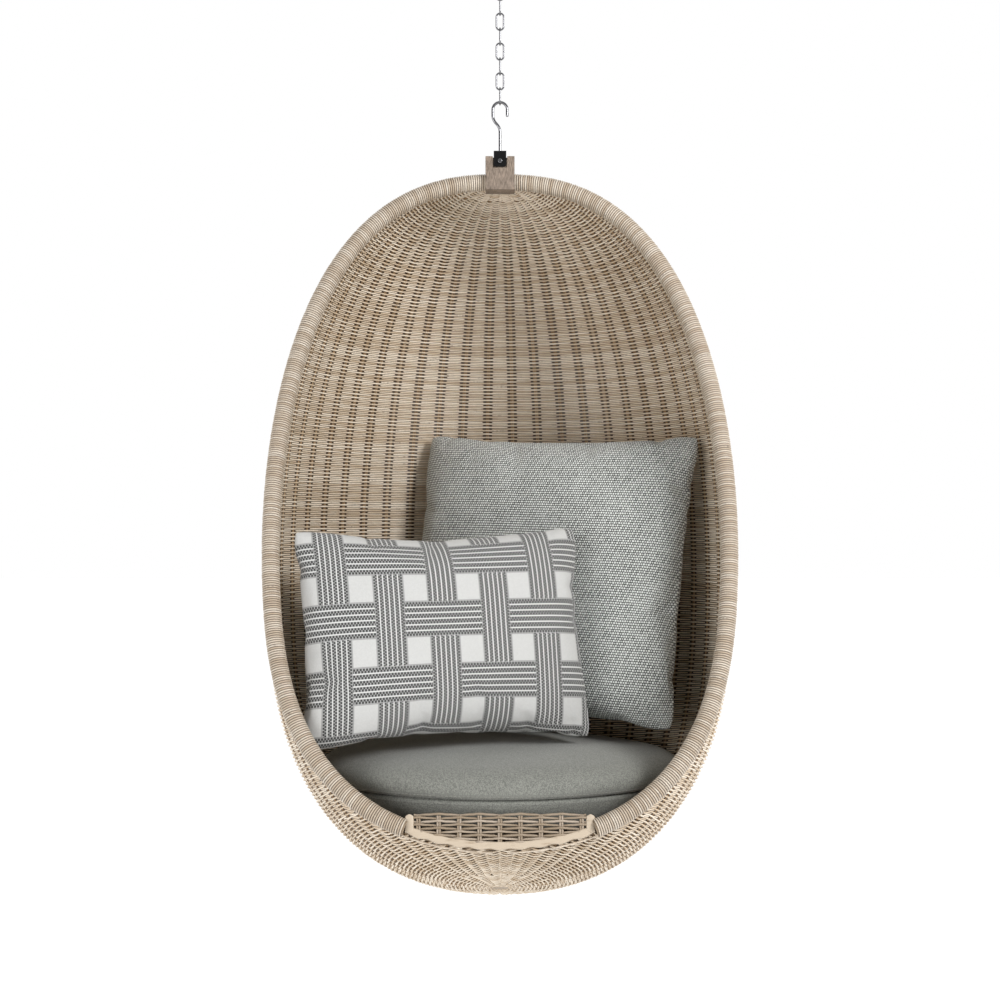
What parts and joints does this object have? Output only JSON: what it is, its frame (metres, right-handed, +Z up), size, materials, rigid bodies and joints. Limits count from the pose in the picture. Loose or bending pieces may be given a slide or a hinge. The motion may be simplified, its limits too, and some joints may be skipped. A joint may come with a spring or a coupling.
{
  "type": "hanging egg chair",
  "caption": "Hanging egg chair: a woven wicker egg on a wrapped steel rim that swivels and swings from a ceiling chain, with a round seat cushion and loose pillows.",
  "frame": {"origin": "centre of the ceiling plate's top face, where it meets the ceiling", "axes": "+Z up out of the ceiling plate along the chain, -Y the way the mouth of the egg faces, +X to the right of someone who looks into the mouth"},
  "size_m": [0.8118, 0.628, 1.6992],
  "materials": {
    "bright_steel": "polished",
    "black_steel": "satin",
    "frame_steel": "satin",
    "bush_plastic": "matte",
    "taupe_block": "satin",
    "wicker_wrap": "satin",
    "wicker_weave": "satin",
    "wicker_strip": "satin",
    "dark_grey_fabric": "matte",
    "heather_grey_fabric": "matte",
    "striped_fabric": "matte"
  },
  "bodies": {
    "ceiling_mount": {"ceiling_plate": "bright_steel", "ceiling_eye": "bright_steel"},
    "link_1": {"chain_link_1": "bright_steel"},
    "link_2": {"chain_link_2": "bright_steel"},
    "link_3": {"chain_link_3": "bright_steel"},
    "link_4": {"chain_link_4": "bright_steel"},
    "link_5": {"chain_link_5": "bright_steel"},
    "link_6": {"chain_link_6": "bright_steel"},
    "link_7": {"chain_link_7": "bright_steel"},
    "link_8": {"chain_link_8": "bright_steel"},
    "link_9": {"chain_link_9": "bright_steel"},
    "hook": {"hanging_hook": "bright_steel", "hook_washer": "bright_steel", "hook_nut": "bright_steel"},
    "clevis": {"swivel_clevis": "black_steel", "pivot_bolt": "bright_steel", "pivot_bush": "bush_plastic", "pivot_nut": "bright_steel"},
    "egg": {"hanger_block": "taupe_block", "rim_tube": "frame_steel", "rim_wrap_left": "wicker_wrap", "rim_wrap_right": "wicker_wrap", "woven_shell": "wicker_weave", "frame_rib_back_left": "frame_steel", "frame_rib_back_right": "frame_steel", "frame_rib_side_left": "frame_steel", "frame_rib_side_right": "frame_steel", "top_hub": "frame_steel", "pole_hub": "frame_steel", "panel_strip_left": "wicker_strip", "panel_strip_right": "wicker_strip", "panel_strip_top": "wicker_strip", "panel_strip_bottom": "wicker_strip", "panel_weave": "wicker_weave", "panel_rail": "frame_steel", "seat_ring": "frame_steel", "seat_cross_bar_1": "frame_steel", "seat_cross_bar_2": "frame_steel"},
    "cushion": {"seat_cushion": "dark_grey_fabric"},
    "square_pillow": {"back_pillow": "heather_grey_fabric"},
    "small_pillow": {"lumbar_pillow": "striped_fabric"}
  },
  "joints": [
    {"name": "link_1_swing", "type": "hinge", "parent": "ceiling_mount", "child": "link_1", "pos_m": [0, 0, -0.04285], "axis": [1, 0, 0], "range_deg": [-12, 12]},
    {"name": "link_2_swing", "type": "hinge", "parent": "link_1", "child": "link_2", "pos_m": [0, 0, -0.0672], "axis": [0, 1, 0], "range_deg": [-12, 12]},
    {"name": "link_3_swing", "type": "hinge", "parent": "link_2", "child": "link_3", "pos_m": [0, 0, -0.09405], "axis": [1, 0, 0], "range_deg": [-12, 12]},
    {"name": "link_4_swing", "type": "hinge", "parent": "link_3", "child": "link_4", "pos_m": [0, 0, -0.1209], "axis": [0, 1, 0], "range_deg": [-12, 12]},
    {"name": "link_5_swing", "type": "hinge", "parent": "link_4", "child": "link_5", "pos_m": [0, 0, -0.14775], "axis": [1, 0, 0], "range_deg": [-12, 12]},
    {"name": "link_6_swing", "type": "hinge", "parent": "link_5", "child": "link_6", "pos_m": [0, 0, -0.1746], "axis": [0, 1, 0], "range_deg": [-12, 12]},
    {"name": "link_7_swing", "type": "hinge", "parent": "link_6", "child": "link_7", "pos_m": [0, 0, -0.20145], "axis": [1, 0, 0], "range_deg": [-12, 12]},
    {"name": "link_8_swing", "type": "hinge", "parent": "link_7", "child": "link_8", "pos_m": [0, 0, -0.2283], "axis": [0, 1, 0], "range_deg": [-12, 12]},
    {"name": "link_9_swing", "type": "hinge", "parent": "link_8", "child": "link_9", "pos_m": [0, 0, -0.25515], "axis": [1, 0, 0], "range_deg": [-12, 12]},
    {"name": "hook_swing", "type": "hinge", "parent": "link_9", "child": "hook", "pos_m": [0, 0, -0.282], "axis": [0, 1, 0], "range_deg": [-15, 15]},
    {"name": "hook_swivel", "type": "hinge", "parent": "hook", "child": "clevis", "pos_m": [0, 0, -0.36995], "axis": [0, 0, 1], "continuous": true},
    {"name": "clevis_tilt", "type": "hinge", "parent": "clevis", "child": "egg", "pos_m": [0, 0, -0.38795], "axis": [0, 1, 0], "range_deg": [-6, 6]},
    {"name": "cushion_lift", "type": "slide", "parent": "egg", "child": "cushion", "axis": [0, 0, 1], "range_m": [0, 0.045]},
    {"name": "square_pillow_lift", "type": "slide", "parent": "cushion", "child": "square_pillow", "axis": [0, 0, 1], "range_m": [0, 0.04]},
    {"name": "small_pillow_lift", "type": "slide", "parent": "cushion", "child": "small_pillow", "axis": [0.3, -0.35, 0.8874], "range_m": [0, 0.06]}
  ]
}
